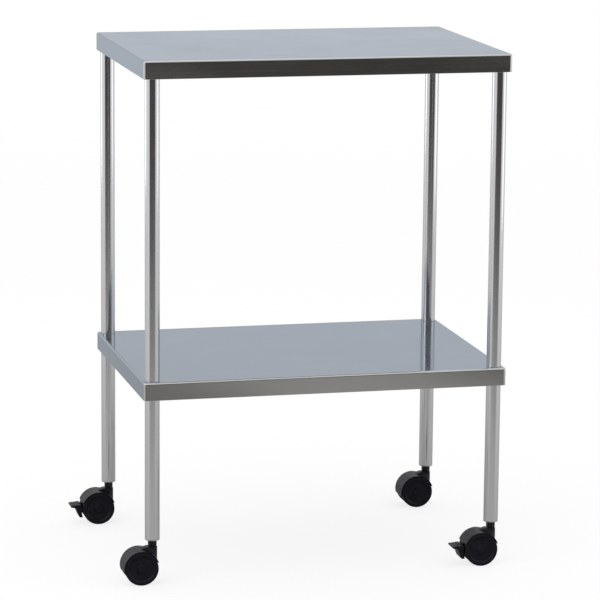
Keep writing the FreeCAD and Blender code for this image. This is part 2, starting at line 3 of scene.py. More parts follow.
import bmesh
import bpy
import numpy as np
from mathutils import Matrix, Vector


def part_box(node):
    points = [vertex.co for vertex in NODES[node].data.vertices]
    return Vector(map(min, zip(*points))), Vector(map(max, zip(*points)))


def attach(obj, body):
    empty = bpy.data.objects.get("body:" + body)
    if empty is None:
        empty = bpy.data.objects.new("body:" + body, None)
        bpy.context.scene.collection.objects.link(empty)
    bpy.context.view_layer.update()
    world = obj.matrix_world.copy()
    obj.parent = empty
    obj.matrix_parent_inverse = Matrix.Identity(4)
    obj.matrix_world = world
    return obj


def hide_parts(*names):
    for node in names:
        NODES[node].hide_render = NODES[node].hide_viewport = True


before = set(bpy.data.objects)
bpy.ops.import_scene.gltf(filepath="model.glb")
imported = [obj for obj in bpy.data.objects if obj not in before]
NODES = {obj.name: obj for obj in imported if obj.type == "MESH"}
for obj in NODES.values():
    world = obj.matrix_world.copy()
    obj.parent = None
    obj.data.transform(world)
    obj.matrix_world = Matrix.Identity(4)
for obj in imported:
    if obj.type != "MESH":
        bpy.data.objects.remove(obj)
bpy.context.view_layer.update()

bl_info = {
    "name": "Instrument Cart",
    "version": (1, 0, 0),
    "blender": (4, 5, 0),
    "location": "3D View > Sidebar > Cart",
    "description": "Dresses the CAD frame of a two-shelf stainless instrument cart on twin-wheel casters",
    "category": "Object",
}

MM = 0.001
CORNERS = ("front_left", "front_right", "back_left", "back_right")
BRAKED = ("front_right", "back_left")

# Distances at which a mesh's points are merged and its slivers removed.
MERGE = 2e-6
SLIVER = 1e-7
# How far outside a rounded corner its guard points lie, on profiles and on the trays' plan.
PROFILE_GUARD = 0.06 * MM
PLAN_GUARD = 4e-6
# Points in the arc of a rounded corner, on large pieces and on small ones.
LARGE_ARC = 10
SMALL_ARC = 5
# Flat faces round a turned piece, on wheels and tubes and on what mostly lies hidden.
OPEN_TURN = 96
HIDDEN_TURN = 72
# Angles in degrees above which an edge is shaded sharp.
SHARP_FOLD = 35
SHARP_WHEEL = 40
SHARP_MOULDED = 32

# Half width added to a tray's innermost rings, so that no two of their points meet.
LEAST_WIDTH = 1e-5
# A hem: its height above the flange's foot, the share of the sheet at which it starts so that it
# sinks into the flange, and the rounding of its edges.
HEM_LIFT = 0.02 * MM
HEM_START = 0.98
HEM_ROUND = 0.4 * MM

# Gap between a caster socket and the tube's bore.
SOCKET_GAP = 0.05 * MM
# A stem's collar: its depth below the tube's foot, its size, and how far it reaches into the hexagon.
COLLAR_DROP = 12.5 * MM
COLLAR_RADIUS = 7 * MM
COLLAR_THICKNESS = 1.0 * MM
COLLAR_OVERLAP = 0.1 * MM
# The hexagon above it: the depth of its top below the tube's foot, the rounding of its edges, the
# height of its chamfers and the share of its width that they leave.
HEXAGON_DROP = 1.5 * MM
HEXAGON_ROUND = 0.5 * MM
HEXAGON_CHAMFER = 0.6 * MM
HEXAGON_END = 0.93

# A wheel: the share of its depth to the disc's face that the blind bore takes, where its rim starts,
# how far the rim stays inside the tread's bore, and the rounding of the tread's inner edges.
BORE_DEPTH = 0.75
RIM_INSET = 0.6 * MM
TREAD_SEAT = 0.02 * MM
TREAD_EDGE = 0.1 * MM

# Radians of the flanges' lean per metre along the shelf and across it.
LEAN_ALONG = 8.4
LEAN_ACROSS = 5.0

# The unlit front of the room: the way to its middle, the cosines of the angle from there at which it
# starts and is full, the heights between which it ends, and its red and blue as shares of its green.
ROOM_MIDDLE = (-0.14, -0.99, 0.0)
ROOM_EDGE = (0.58, 0.80)
ROOM_TOP = (0.2, 0.3)
ROOM_RED = 1.05
ROOM_BLUE = 0.94

# The floor: its half width, the distances over which it fades from view, and its own light's share.
FLOOR_REACH = 7.0
FLOOR_FADE = (3.0, 6.0)
FLOOR_GLOW = 0.78
# The floor as steel mirrors it: its colour, a grey painted shade in place of the white that the camera
# sees, and its own light's share. It fades as the exponent of the rate times the distance to the power.
MIRRORED_SHADE_COLOUR = (0.50, 0.487, 0.47)
MIRRORED_GLOW = 0.2
MIRRORED_RATE = -0.155
MIRRORED_POWER = 1.8

# Name, place, side and power in watts of the square lamps, and the point that they face.
LAMPS = (
    ("lamp_over", (0.1, -0.2, 3.2), 2.8, 10),
    ("lamp_left", (-2.6, -1.0, 1.7), 1.6, 14),
    ("lamp_behind", (-2.7, 1.7, 0.6), 0.8, 4),
    ("lamp_right", (2.7, -0.6, 0.95), 1.6, 6),
)
LAMP_TARGET = (0.0, 0.0, 0.45)

# The camera: the point that it faces, its sensor's width in millimetres and how far it sees.
CAMERA_TARGET = (0.0054, 0, 0.4419)
CAMERA_SENSOR = 36
CAMERA_REACH = 50


# ---------------------------------------------------------------- sizes and finishes


def length(name, description, default):
    """A length property in metres."""
    return bpy.props.FloatProperty(
        name=name, description=description, default=default, min=0, precision=5, unit="LENGTH"
    )


def angle(name, description, default):
    """An angle property in radians."""
    return bpy.props.FloatProperty(name=name, description=description, default=default, subtype="ANGLE")


def share(name, description, default):
    """A number between 0 and 1."""
    return bpy.props.FloatProperty(
        name=name, description=description, default=default, min=0, max=1, subtype="FACTOR"
    )


def colour(name, description, default):
    """A linear colour."""
    return bpy.props.FloatVectorProperty(
        name=name, description=description, default=default, min=0, max=1, size=3, subtype="COLOR"
    )


class CART_PG_shelves(bpy.types.PropertyGroup):
    """Sizes of the folded shelves"""

    sheet: length("Sheet", "Thickness of the folded sheet", 1.2 * MM)
    fold: length("Fold radius", "Outer radius of the fold between deck and flange", 3.5 * MM)
    corner: length("Corner radius", "Radius of the upright corners in plan", 5 * MM)
    hem_height: length("Hem height", "Height of the strip folded in at each flange's foot", 10 * MM)
    hem_setback: length("Hem setback", "Distance from the corners to the hem's ends", 14 * MM)
    edge: length("Edge round", "Rounding of the flange's foot", 0.45 * MM)


class CART_PG_legs(bpy.types.PropertyGroup):
    """Sizes of the leg tubes and their sockets"""

    wall: length("Tube wall", "Wall of the round leg tube", 1.2 * MM)
    edge: length("Tube end round", "Rounding of the tube's ends", 0.35 * MM)
    rim: length("Socket rim", "Rim of the caster socket under the tube's end", 1.5 * MM)
    socket: length("Socket depth", "Length of the caster socket inside the tube", 25 * MM)
    bore: length("Socket bore", "Radius of the thread in the caster socket", 5.05 * MM)


class CART_PG_casters(bpy.types.PropertyGroup):
    """Sizes of the wheels and the casters' stems"""

    tread: length("Tread thickness", "Thickness of the soft tread", 4 * MM)
    shoulder: length("Tread shoulder", "Rounding of the tread's running edges", 1.5 * MM)
    rim: length("Rim thickness", "Thickness of the wheel's rim under the tread", 3 * MM)
    recess: length("Disc recess", "Depth of the wheel's outer face inside its rim", 2.6 * MM)
    disc: length("Disc thickness", "Thickness of the wheel's disc", 3 * MM)
    hub: length("Hub radius", "Radius of the wheel's hub", 7 * MM)
    cap: length("Cap radius", "Radius of the hub's cap at the disc", 9 * MM)
    axle: length("Axle bore", "Radius of the blind bore for the axle", 3.05 * MM)
    flats: length("Hexagon", "Size across flats of the stem's hexagon", 14 * MM)
    pin: length("Swivel pin", "Radius of the stem's swivel pin", 4.5 * MM)
    thread: length("Stem thread", "Radius of the stem's threaded end", 5 * MM)


class CART_PG_finishes(bpy.types.PropertyGroup):
    """Colours of the finishes, and the look of the brushed sheet"""

    sheet_steel: colour("Sheet steel", "Brushed stainless of the shelves", (0.46, 0.462, 0.458))
    # Sheet sheen is partly painted reflection: the steel's own tint at a low angle, dimmed and turned
    # blue-grey so that the white surround mirrors in it as a dim blue-grey room.
    sheet_sheen_with_painted_reflection: colour("Sheet sheen", "Brushed steel seen at a low angle", (0.58, 0.636, 0.718))
    tube_steel: colour("Tube steel", "Polished stainless of the legs", (0.59, 0.592, 0.605))
    # Tube sheen is partly painted shade: the steel's own tint at a low angle, dimmed so that the white
    # surround mirrors dimmer in the tube's edges.
    tube_sheen_with_painted_shade: colour("Tube sheen", "Polished tube seen at a low angle", (0.76, 0.765, 0.785))
    turned_steel: colour("Turned steel", "Sockets, studs and axles", (0.42, 0.42, 0.43))
    black_steel: colour("Blackened steel", "Caster stems and brake pins", (0.02, 0.02, 0.021))
    nylon: colour("Nylon", "Black moulded caster housings and wheel cores", (0.0045, 0.0047, 0.0085))
    rubber: colour("Tread", "Black tread of the wheels", (0.006, 0.0062, 0.0105))
    brushing: share("Brushing", "Strength of the brushed grain's stretched reflections", 0.8)
    lean: share("Flange lean", "Slope by which the folded flanges lean along their length", 0.04)


class CART_PG_studio(bpy.types.PropertyGroup):
    """Place of the camera, and the light from all round"""

    azimuth: angle("Camera azimuth", "Turn of the camera about the cart", math.radians(-13.83))
    elevation: angle("Camera elevation", "Height angle of the camera", math.radians(10.96))
    roll: angle("Camera roll", "Turn of the camera about its own axis", 0.0091)
    distance: length("Camera distance", "Distance from the camera to the cart's middle", 5.695)
    lens: bpy.props.FloatProperty(
        name="Lens", description="Focal length on a 36 mm sensor", default=192.5, min=1, unit="CAMERA"
    )
    room: share("Room light", "Level of the light from all round", 0.9)
    front_shade: share("Front shade", "Brightness of the unlit room in reflections", 0.07)


class CART_PG_settings(bpy.types.PropertyGroup):
    """All sizes and finishes of the cart"""

    shelves: bpy.props.PointerProperty(type=CART_PG_shelves, name="Shelves")
    legs: bpy.props.PointerProperty(type=CART_PG_legs, name="Legs")
    casters: bpy.props.PointerProperty(type=CART_PG_casters, name="Casters")
    finishes: bpy.props.PointerProperty(type=CART_PG_finishes, name="Finishes")
    studio: bpy.props.PointerProperty(type=CART_PG_studio, name="Studio")


# ---------------------------------------------------------------- surfaces


def extent(node):
    """Lowest and highest corner of a CAD node as arrays."""
    low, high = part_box(node)
    return np.array(low), np.array(high)


def plan(node):
    """Half the size of a CAD node seen from above, and its middle."""
    low, high = extent(node)
    return (high[:2] - low[:2]) / 2, (high[:2] + low[:2]) / 2


def unit(vectors):
    """Vectors divided by their lengths."""
    return vectors / np.linalg.norm(vectors, axis=-1, keepdims=True)


def rounded(corners, radius, steps, guard=PROFILE_GUARD):
    """A closed polygon with round corners, as rows of points over the last two axes.

    Each corner's arc touches both sides at radius / tan(half the corner's angle) from the corner,
    and its points turn from one touching point to the other about the arc's centre. A guard point
    on each side just outside the arc keeps the shading of the straight part flat.
    """
    corners = np.asarray(corners, float)
    radius = np.broadcast_to(np.asarray(radius, float), corners.shape[:-1])[..., None]
    back = unit(np.roll(corners, 1, axis=-2) - corners)
    ahead = unit(np.roll(corners, -1, axis=-2) - corners)
    half = np.arccos(np.clip((back * ahead).sum(-1, keepdims=True), -1, 1)) / 2
    touch = radius / np.tan(half)
    centre = corners + unit(back + ahead) * radius / np.sin(half)
    first = (corners + back * touch - centre)[..., None, :]
    last = (corners + ahead * touch - centre)[..., None, :]
    sweep = (np.pi - 2 * half)[..., None, :]
    turn = np.linspace(0, 1, steps)[:, None]
    turning = np.sin((1 - turn) * sweep) * first + np.sin(turn * sweep) * last
    arc = centre[..., None, :] + turning / np.sin(sweep)
    before = (corners + back * (touch + guard))[..., None, :]
    after = (corners + ahead * (touch + guard))[..., None, :]
    points = np.concatenate([before, arc, after], axis=-2)
    return points.reshape(*points.shape[:-3], -1, points.shape[-1])


def section(rows, steps=SMALL_ARC):
    """A closed profile with round corners, from rows of (across, along, rounding)."""
    rows = np.array(rows, float)
    return rounded(rows[:, :2], rows[:, 2], steps)


def turned(profile, segments=OPEN_TURN):
    """Grid of a profile of (radius, height) points turned about Z: radius times the unit circle."""
    around = np.linspace(0, 2 * np.pi, segments, endpoint=False)
    radius, height = profile[:, :1], profile[:, 1:]
    flat = np.ones_like(around)
    return np.stack([radius * np.cos(around), radius * np.sin(around), height * flat], axis=-1)


def lifted(rings, heights):
    """Grid of flat rings, each at its own height: the height is added as the third coordinate."""
    heights = np.asarray(heights)[:, None, None] * np.ones(rings.shape[:2] + (1,))
    return np.concatenate([rings, heights], axis=-1)


def bar(profile, start, end):
    """Grid of a closed profile carried from one end to the other, each end drawn in to its middle."""
    middle = profile.mean(axis=0) * np.ones_like(profile)
    return lifted(np.stack([middle, profile, profile, middle]), [start, start, end, end])


def quads(rows, columns, close_rows):
    """Corner numbers of a grid's quads. Its columns are joined into rings, and its rows if asked."""
    index = np.arange(rows * columns).reshape(rows, columns)
    if close_rows:
        index = np.vstack([index, index[:1]])
    index = np.hstack([index, index[:, :1]])
    corners = [index[:-1, :-1], index[1:, :-1], index[1:, 1:], index[:-1, 1:]]
    return np.stack(corners, axis=-1).reshape(-1, 4)


def cart_collection():
    """The collection that holds the cart's pieces, made if it isn't there."""
    found = bpy.data.collections.get("Cart")
    if found is None:
        found = bpy.data.collections.new("Cart")
        bpy.context.scene.collection.children.link(found)
    return found


def fresh_object(name, data):
    """A new object by this name, in place of the one that an earlier run left."""
    old = bpy.data.objects.get(name)
    if old is not None:
        bpy.data.objects.remove(old)
    return bpy.data.objects.new(name, data)


def finish_mesh(mesh, shape, sharp):
    """Merge doubled points, face outwards and shade smooth up to the sharp angle."""
    bmesh.ops.remove_doubles(shape, verts=shape.verts, dist=MERGE)
    bmesh.ops.dissolve_degenerate(shape, edges=shape.edges, dist=SLIVER)
    bmesh.ops.recalc_face_normals(shape, faces=shape.faces)
    shape.to_mesh(mesh)
    shape.free()
    mesh.shade_smooth()
    mesh.set_sharp_from_angle(angle=math.radians(sharp))


def shown(name, mesh, material, body, nodes):
    """Show a mesh as a piece, give it its finish, hang it on its body and hide the CAD nodes that it
    stands for.
    """
    thing = fresh_object(name, mesh)
    cart_collection().objects.link(thing)
    thing.data.materials.append(material)
    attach(thing, body)
    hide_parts(*nodes)
    return thing


def piece(name, grids, material, body, nodes, sharp=SHARP_FOLD, attributes=None):
    """One piece from pairs of a grid of points and whether its rows join up too."""
    points, faces, start = [], [], 0
    for grid, close_rows in grids:
        points.append(grid.reshape(-1, 3))
        faces.append(quads(*grid.shape[:2], close_rows) + start)
        start += len(points[-1])
    mesh = bpy.data.meshes.new(name)
    mesh.from_pydata(np.concatenate(points), [], np.concatenate(faces))
    for key, values in (attributes or {}).items():
        kind, field = ("FLOAT_VECTOR", "vector") if values.ndim == 2 else ("FLOAT", "value")
        mesh.attributes.new(key, kind, "POINT").data.foreach_set(field, values.ravel())
    shape = bmesh.new()
    shape.from_mesh(mesh)
    finish_mesh(mesh, shape, sharp)
    return shown(name, mesh, material, body, nodes)


def moulded_copy(name, node, material, body):
    """The CAD node's own surface with its points merged, smooth across its fillets."""
    mesh = bpy.data.meshes.new(name)
    shape = bmesh.new()
    shape.from_mesh(NODES[node].data)
    finish_mesh(mesh, shape, SHARP_MOULDED)
    thing = shown(name, mesh, material, body, (node,))
    even = thing.modifiers.new("even_shading", "WEIGHTED_NORMAL")
    even.keep_sharp = True
    return thing


# ---------------------------------------------------------------- finishes


def new_tree(name):
    """A material by this name and its emptied node tree."""
    material = bpy.data.materials.get(name) or bpy.data.materials.new(name)
    material.use_nodes = True
    material.node_tree.nodes.clear()
    return material, material.node_tree


def add(tree, kind, settings=None, **inputs):
    """A shader node with its settings and inputs, each input a value or another node's output.

    An input is named by its own name, or by the letter i and its number.
    """
    node = tree.nodes.new("ShaderNode" + kind)
    for key, value in (settings or {}).items():
        setattr(node, key, value)
    for key, value in inputs.items():
        socket = node.inputs[int(key[1:]) if key[1:].isdigit() else key.replace("_", " ")]
        if isinstance(value, bpy.types.NodeSocket):
            tree.links.new(value, socket)
        else:
            socket.default_value = value
    return node


def maths(tree, operation, first, second=0.5):
    """One step of arithmetic on one or two numbers."""
    return add(tree, "Math", {"operation": operation}, i0=first, i1=second).outputs[0]


def vector_maths(tree, operation, first, second=(0, 0, 0)):
    """Both results, Vector and Value, of one step of arithmetic on one or two vectors."""
    return add(tree, "VectorMath", {"operation": operation}, i0=first, i1=second).outputs


def mixed(tree, factor, first, second):
    """A number between two others."""
    return add(tree, "Mix", i0=factor, i2=first, i3=second).outputs[0]


def spread(tree, value, span, onto, easing="LINEAR"):
    """A value mapped from one span onto another and held inside it."""
    ends = {"i1": span[0], "i2": span[1], "i3": onto[0], "i4": onto[1]}
    return add(tree, "MapRange", {"interpolation_type": easing}, i0=value, **ends).outputs[0]


def blend_colours(tree, factor, first, second):
    """A colour between two others, each given as red, green and blue or as a node's output."""
    first, second = (
        value if isinstance(value, bpy.types.NodeSocket) else (*value, 1) for value in (first, second)
    )
    return add(tree, "Mix", {"data_type": "RGBA"}, i0=factor, i6=first, i7=second).outputs[2]


def tinted(rgb, factor):
    """A colour made darker or lighter by a factor."""
    return tuple(min(1.0, channel * factor) for channel in rgb)


def shades(tree, pattern, span, rgb, dark, light, most=1):
    """A colour that runs from a darker to a lighter shade over a span of a pattern."""
    factor = spread(tree, pattern, span, (0, most))
    return blend_colours(tree, factor, tinted(rgb, dark), tinted(rgb, light))


def noise(tree, place, scale, detail=3.0, roughness=0.55):
    """Cloudy noise from 0 to 1, with as many clouds per metre as its scale says."""
    inputs = {"Vector": place, "Scale": scale, "Detail": detail, "Roughness": roughness}
    return add(tree, "TexNoise", **inputs).outputs["Fac"]


def streaks(tree, place, scale, **inputs):
    """Noise with its own scale along each axis, so it is drawn out where the scale is low."""
    return noise(tree, vector_maths(tree, "MULTIPLY", place, scale)["Vector"], scale=1.0, **inputs)


def relief(tree, height, strength, distance, **under):
    """Small bumps by a pattern's height, on top of others where they are given as Normal."""
    return add(tree, "Bump", Strength=strength, Distance=distance, Height=height, **under).outputs[0]


def on_piece(tree):
    """Place on the piece itself, in metres."""
    return add(tree, "TexCoord").outputs["Object"]


def surface(tree, **inputs):
    """The finish itself, wired to the material's output."""
    shader = add(tree, "BsdfPrincipled", **inputs)
    tree.links.new(shader.outputs[0], add(tree, "OutputMaterial").inputs[0])


def brushed_sheet(finishes):
    """Brushed stainless: grain along the flat blank's length, so reflections stretch across it.

    The flanges lean in and out by turns along their length, as folded sheet does: the lean is the
    depth below the deck times a cosine of the place, of opposite sign on the two shelves.
    """
    material, tree = new_tree("brushed_stainless")
    blank = add(tree, "Attribute", {"attribute_name": "blank"}).outputs["Vector"]
    depth = add(tree, "Attribute", {"attribute_name": "depth"}).outputs["Fac"]
    fine = streaks(tree, blank, (14, 2100, 1), detail=3.0, roughness=0.6)
    broad = streaks(tree, blank, (3, 240, 1), detail=2.0)
    handled = noise(tree, blank, scale=7.0, detail=4.0, roughness=0.6)
    wavy = noise(tree, blank, scale=2.6, detail=1.0)
    steel = finishes.sheet_steel
    grain = shades(tree, mixed(tree, 0.35, fine, broad), (0.3, 0.7), steel, dark=0.93, light=1.07)
    dulled = spread(tree, handled, (0.35, 0.75), (0, 0.35))
    cloudy = blend_colours(tree, dulled, grain, tinted(steel, 0.93))
    rough = spread(tree, mixed(tree, 0.55, broad, handled), (0.35, 0.65), (0.085, 0.15))
    top_low, top_high = extent("top_shelf")
    drop = top_high[2] - extent("lower_shelf")[1][2]
    place = vector_maths(tree, "SUBTRACT", blank, (0.0, top_low[1], top_high[2]))["Vector"]
    phase = vector_maths(tree, "DOT_PRODUCT", place, (LEAN_ALONG, LEAN_ACROSS, math.pi / drop))["Value"]
    lean = maths(tree, "MULTIPLY", maths(tree, "COSINE", phase), depth)
    leaning = relief(tree, lean, strength=1.0, distance=finishes.lean)
    ripple = relief(tree, wavy, strength=0.25, distance=1.1 * MM, Normal=leaning)
    scratched = relief(tree, fine, strength=0.12, distance=0.02 * MM, Normal=ripple)
    across = add(tree, "CombineXYZ", X=0.0, Y=1.0, Z=0.02).outputs[0]
    # Its sheen tint is partly painted reflection, dimmed and blue-grey so that the white surround mirrors
    # as a dim blue-grey room.
    surface(
        tree, Base_Color=cloudy, Metallic=1.0, Roughness=rough, Anisotropic=finishes.brushing,
        Tangent=across, Normal=scratched, Specular_Tint=(*finishes.sheet_sheen_with_painted_reflection, 1),
    )
    return material


def polished_tube(finishes):
    """Polished stainless tube with faint lines drawn along it and a trace of handling."""
    material, tree = new_tree("polished_stainless")
    place = on_piece(tree)
    drawn = streaks(tree, place, (900, 900, 6), detail=2.0)
    handled = noise(tree, vector_maths(tree, "MULTIPLY", place, (1, 1, 0.5))["Vector"], scale=22.0)
    # Its sheen tint is partly painted shade, dimmed so that the tube's edges mirror the white surround
    # dimmer.
    surface(
        tree, Base_Color=shades(tree, drawn, (0.3, 0.7), finishes.tube_steel, dark=0.97, light=1.03),
        Metallic=1.0, Roughness=spread(tree, handled, (0.35, 0.7), (0.10, 0.15)),
        Normal=relief(tree, drawn, strength=0.08, distance=0.02 * MM),
        Specular_Tint=(*finishes.tube_sheen_with_painted_shade, 1),
    )
    return material


def turned_metal(finishes):
    """Plated turned steel with fine tool rings around Z."""
    material, tree = new_tree("turned_steel")
    rings = streaks(tree, on_piece(tree), (30, 30, 3800), detail=2.0)
    surface(
        tree, Base_Color=shades(tree, rings, (0.3, 0.7), finishes.turned_steel, dark=0.88, light=1.08),
        Metallic=1.0, Roughness=spread(tree, rings, (0.3, 0.7), (0.24, 0.34)),
        Normal=relief(tree, rings, strength=0.2, distance=0.03 * MM),
    )
    return material


def mill_sheet(finishes):
    """Unpolished sheet of the hidden stiffeners and plates: dull and slightly mottled."""
    material, tree = new_tree("mill_stainless")
    place = on_piece(tree)
    mottle = noise(tree, place, scale=90.0, detail=5.0, roughness=0.65)
    lines = streaks(tree, place, (12, 700, 700), detail=2.0)
    dull = tinted(finishes.sheet_steel, 0.9)
    surface(
        tree, Base_Color=shades(tree, mottle, (0.3, 0.7), dull, dark=0.9, light=1.05),
        Metallic=1.0, Roughness=spread(tree, lines, (0.3, 0.7), (0.36, 0.46)),
        Normal=relief(tree, lines, strength=0.1, distance=0.03 * MM),
    )
    return material


def moulded_nylon(finishes):
    """Black nylon with a fine moulded grain and slightly worn, greyer high spots."""
    material, tree = new_tree("black_nylon")
    place = on_piece(tree)
    grain = noise(tree, place, scale=2400.0, detail=2.0)
    worn = noise(tree, place, scale=130.0, detail=5.0, roughness=0.65)
    surface(
        tree, Base_Color=shades(tree, worn, (0.45, 0.75), finishes.nylon, dark=1, light=1.9),
        Roughness=spread(tree, worn, (0.3, 0.7), (0.36, 0.48)),
        Normal=relief(tree, grain, strength=0.25, distance=0.06 * MM), Specular_IOR_Level=0.15,
    )
    return material


def soft_tread(finishes):
    """Black tread with a little dust in it."""
    material, tree = new_tree("black_tread")
    place = on_piece(tree)
    dust = noise(tree, place, scale=210.0, detail=5.0, roughness=0.7)
    grain = noise(tree, place, scale=1800.0, detail=2.0)
    surface(
        tree, Base_Color=shades(tree, dust, (0.5, 0.8), finishes.rubber, dark=1, light=3.2, most=0.8),
        Roughness=spread(tree, dust, (0.3, 0.7), (0.5, 0.68)),
        Normal=relief(tree, grain, strength=0.2, distance=0.08 * MM), Specular_IOR_Level=0.15,
    )
    return material


def blackened_steel(finishes):
    """Dark oxidised steel of the stems and the brake pins."""
    material, tree = new_tree("black_steel")
    spots = noise(tree, on_piece(tree), scale=600.0, detail=4.0, roughness=0.6)
    surface(
        tree, Base_Color=shades(tree, spots, (0.35, 0.7), finishes.black_steel, dark=1, light=1.8),
        Metallic=1.0, Roughness=spread(tree, spots, (0.3, 0.7), (0.35, 0.5)),
    )
    return material


def dress_nodes(names, material):
    """Give CAD nodes that are shown as they are their finish."""
    for name in names:
        node = NODES[name]
        node.data.materials.clear()
        node.data.materials.append(material)


# ---------------------------------------------------------------- pieces


def sheet_section(half, foot, top, sizes):
    """Section of a shelf's sheet, as points of (inset from the outline, height).

    It runs from the deck's middle line over the fold, down the flange, round its foot and back
    inside, with the first and last corner left as single points.
    """
    sheet, fold = sizes.sheet, sizes.fold
    rows = np.array([
        (half, top, 0),
        (0, top, fold),
        (0, foot, sizes.edge),
        (sheet, foot, sizes.edge),
        (sheet, top - sheet, fold - sheet),
        (half, top - sheet, 0),
    ])
    arcs = section(rows, LARGE_ARC).reshape(len(rows), -1, 2)
    return np.concatenate([rows[:1, :2], *arcs[1:-1], rows[-1:, :2]])


def tray(node, sizes):
    """Grid of a folded tray upside down and the matching points of its flat blank.

    Each point of the sheet's section draws a rounded rectangle that is the shelf's outline moved
    in by the inset. On the blank the flange lies unrolled: the point where the fold starts, moved
    out by the length run since then.
    """
    low, high = extent(node)
    half, middle = plan(node)
    path = sheet_section(half[1], low[2], high[2], sizes)
    inset, height = path[:, 0], path[:, 1]
    signs = np.array([(1, 1), (-1, 1), (-1, -1), (1, -1)])
    least = np.array([half[0] - half[1], 0]) + LEAST_WIDTH
    reach = np.maximum(half - inset[:, None], least)[:, None, :]
    radius = np.maximum(sizes.corner - inset, 0)[:, None]
    rings = rounded(signs * reach, radius, LARGE_ARC, PLAN_GUARD)
    at_fold = rounded(signs * (half - sizes.fold), sizes.corner - sizes.fold, LARGE_ARC)
    at_face = rounded(signs * half, sizes.corner, LARGE_ARC)
    steps = np.linalg.norm(np.diff(path, axis=0), axis=1)
    run = np.concatenate([[0], np.cumsum(steps)]) - (half[1] - sizes.fold)
    run = run[:, None, None]
    flat = np.where(run > 0, at_fold + unit(at_face - at_fold) * run, rings)
    return lifted(rings + middle, height), lifted(flat, height)


def hems(node, sizes):
    """Four strips folded flat against the flanges' inner faces, each a bar with a round foot."""
    low, _ = extent(node)
    half, middle = plan(node)
    foot, head = low[2] + HEM_LIFT, low[2] + sizes.hem_height
    strips = []
    for along, across in ((0, 1), (1, 0)):
        end = half[along] - sizes.hem_setback
        for side in (-1, 1):
            face = side * (half[across] - sizes.sheet * HEM_START)
            back = side * (half[across] - 2 * sizes.sheet)
            corners = [(face, foot), (back, foot), (back, head), (face, head)]
            profile = rounded(corners, HEM_ROUND, SMALL_ARC)
            strip = bar(profile, -end, end)
            place = np.empty_like(strip)
            place[..., across] = strip[..., 0] + middle[across]
            place[..., 2] = strip[..., 1]
            place[..., along] = strip[..., 2] + middle[along]
            strips.append(place)
    return strips


def leg_tube(node, sizes):
    """A tube's wall, a tall rectangle with round corners, turned about the leg's axis."""
    low, high = extent(node)
    half, middle = plan(node)
    bore = half[0] - sizes.wall
    corners = [(half[0], low[2]), (half[0], high[2]), (bore, high[2]), (bore, low[2])]
    return turned(rounded(corners, sizes.edge, SMALL_ARC)) + np.append(middle, 0)


def leg_socket(node, sizes):
    """The socket in a tube's foot: a sleeve with a rim under the tube, turned about the leg's axis."""
    low, _ = extent(node)
    half, middle = plan(node)
    sleeve = half[0] - sizes.wall - SOCKET_GAP
    foot = low[2] - sizes.rim
    head = foot + sizes.rim + sizes.socket
    profile = section([
        (sizes.bore, foot, 0.2 * MM),
        (half[0], foot, 0.4 * MM),
        (half[0], low[2], 0.15 * MM),
        (sleeve, low[2], 0.1 * MM),
        (sleeve, head, 0.8 * MM),
        (sizes.bore, head, 0.2 * MM),
    ])
    return turned(profile, HIDDEN_TURN) + np.append(middle, 0)


def stem_parts(sizes):
    """The turned stem with its collar, and the hexagon round it: six sides with chamfered ends."""
    low, high = extent("caster_stem_front_left")
    tube_foot = extent("lower_leg_front_left")[0][2]
    collar = tube_foot - COLLAR_DROP
    nut_foot = collar + COLLAR_THICKNESS
    nut_head = tube_foot - HEXAGON_DROP
    profile = section([
        (0, low[2], 0),
        (sizes.pin, low[2], 0.8 * MM),
        (sizes.pin, collar, 0.1 * MM),
        (COLLAR_RADIUS, collar, 0.25 * MM),
        (COLLAR_RADIUS, nut_foot + COLLAR_OVERLAP, 0.1 * MM),
        (sizes.thread, nut_foot + COLLAR_OVERLAP, 0.1 * MM),
        (sizes.thread, high[2], 0.8 * MM),
        (0, high[2], 0),
    ])
    around = np.radians(np.arange(6) * 60 + 30)
    across = sizes.flats / 2 / math.cos(math.radians(30))
    outline = np.stack([np.cos(around), np.sin(around)], axis=-1) * across
    shares = np.array([0, HEXAGON_END, 1, 1, HEXAGON_END, 0])[:, None, None]
    heights = [
        nut_foot, nut_foot, nut_foot + HEXAGON_CHAMFER,
        nut_head - HEXAGON_CHAMFER, nut_head, nut_head,
    ]
    hexagon = rounded(outline, HEXAGON_ROUND, SMALL_ARC)
    return turned(profile, HIDDEN_TURN), lifted(hexagon * shares, heights)


def core_section(core, face, sizes):
    """Section of a wheel's core: bore, hub, disc and rim on its inner side, then its outer face."""
    disc = face - sizes.recess
    back = disc - sizes.disc
    bore_end = disc * BORE_DEPTH
    rim = core - sizes.rim
    seat = core - TREAD_SEAT
    return section([
        (0, bore_end, 0),
        (sizes.axle, bore_end, 0),
        (sizes.axle, 0, 0.2 * MM),
        (sizes.hub, 0, 0.5 * MM),
        (sizes.hub, back, 0.6 * MM),
        (rim, back, 0.8 * MM),
        (rim, RIM_INSET, 0.3 * MM),
        (seat, RIM_INSET, 0.2 * MM),
        (seat, face, 0.3 * MM),
        (core - sizes.rim / 2, face, 0.5 * MM),
        (rim - sizes.rim / 2, disc, 0.9 * MM),
        (sizes.cap, disc, 0.7 * MM),
        (sizes.hub, face, 0.5 * MM),
        (0, face, 0),
    ], steps=6)


def tread_section(core, radius, low, high, sizes):
    """Section of a tread: a rectangle whose running edges are rounded."""
    return section([
        (core, low, TREAD_EDGE),
        (radius, low, sizes.shoulder),
        (radius, high, sizes.shoulder),
        (core, high, TREAD_EDGE),
    ], steps=7)


def on_axle(profile, centre, root, facing):
    """Grid of a profile turned about the axle, whose heights run outwards from the wheel's root."""
    local = turned(profile)
    across = centre[0] + local[..., 0]
    out = root + facing * local[..., 2]
    up = centre[2] + local[..., 1]
    return np.stack([across, out, up], axis=-1)


